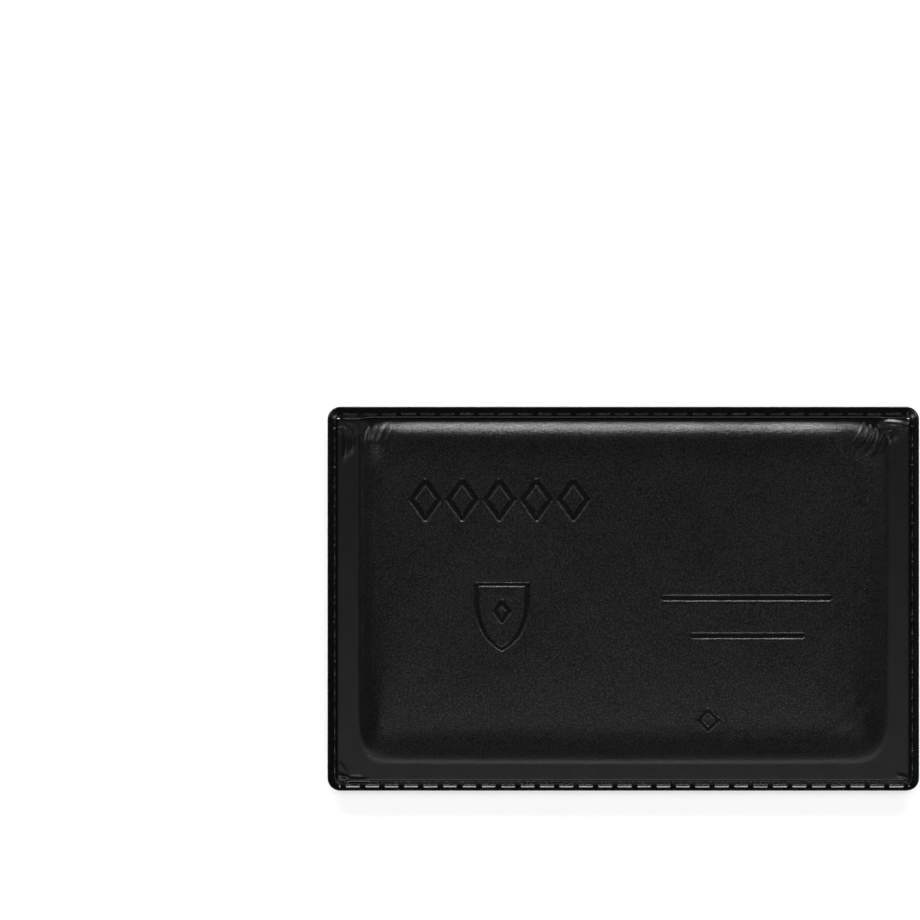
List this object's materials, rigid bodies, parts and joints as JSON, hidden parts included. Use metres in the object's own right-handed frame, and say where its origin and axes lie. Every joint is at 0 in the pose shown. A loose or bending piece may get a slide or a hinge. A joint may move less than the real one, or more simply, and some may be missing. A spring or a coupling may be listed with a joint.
{
  "type": "rfid card sleeve",
  "caption": "Slim welded card sleeve: padded black leather-look front with shielding foil, clear rear window, and a bank card that slides out of the long side.",
  "frame": {"origin": "middle of the window film's outer face, on which the sleeve lies; bottom centre of the whole part", "axes": "+X along the long side, to the right as the padded front is seen; +Y towards the mouth; +Z out of the padded front"},
  "size_m": [0.0914, 0.0596, 0.0039],
  "materials": {
    "leather_look_skin": "satin",
    "foam": "matte",
    "foil": "satin",
    "lining_sheet": "satin",
    "clear_film": "gloss",
    "weld": "gloss",
    "card_silver": "satin",
    "contact_plate": "satin",
    "chip_resin": "matte",
    "aerial_copper": "satin",
    "magnetic_tape": "satin",
    "signature_paper": "matte"
  },
  "bodies": {
    "sleeve": {"front_cover": "leather_look_skin", "foam_pad": "foam", "shield_foil": "foil", "pocket_lining": "lining_sheet", "window_film": "clear_film", "closed_weld": "weld", "left_weld": "weld", "right_weld": "weld", "mouth_hem": "weld"},
    "card": {"card_face": "card_silver", "card_back": "card_silver", "chip_contacts": "contact_plate", "chip_capsule": "chip_resin", "aerial": "aerial_copper", "magnetic_stripe": "magnetic_tape", "signature_panel": "signature_paper"}
  },
  "joints": [
    {"name": "card_slide", "type": "slide", "parent": "sleeve", "child": "card", "axis": [0, 1, 0], "range_m": [-0.0015, 0.053]}
  ]
}
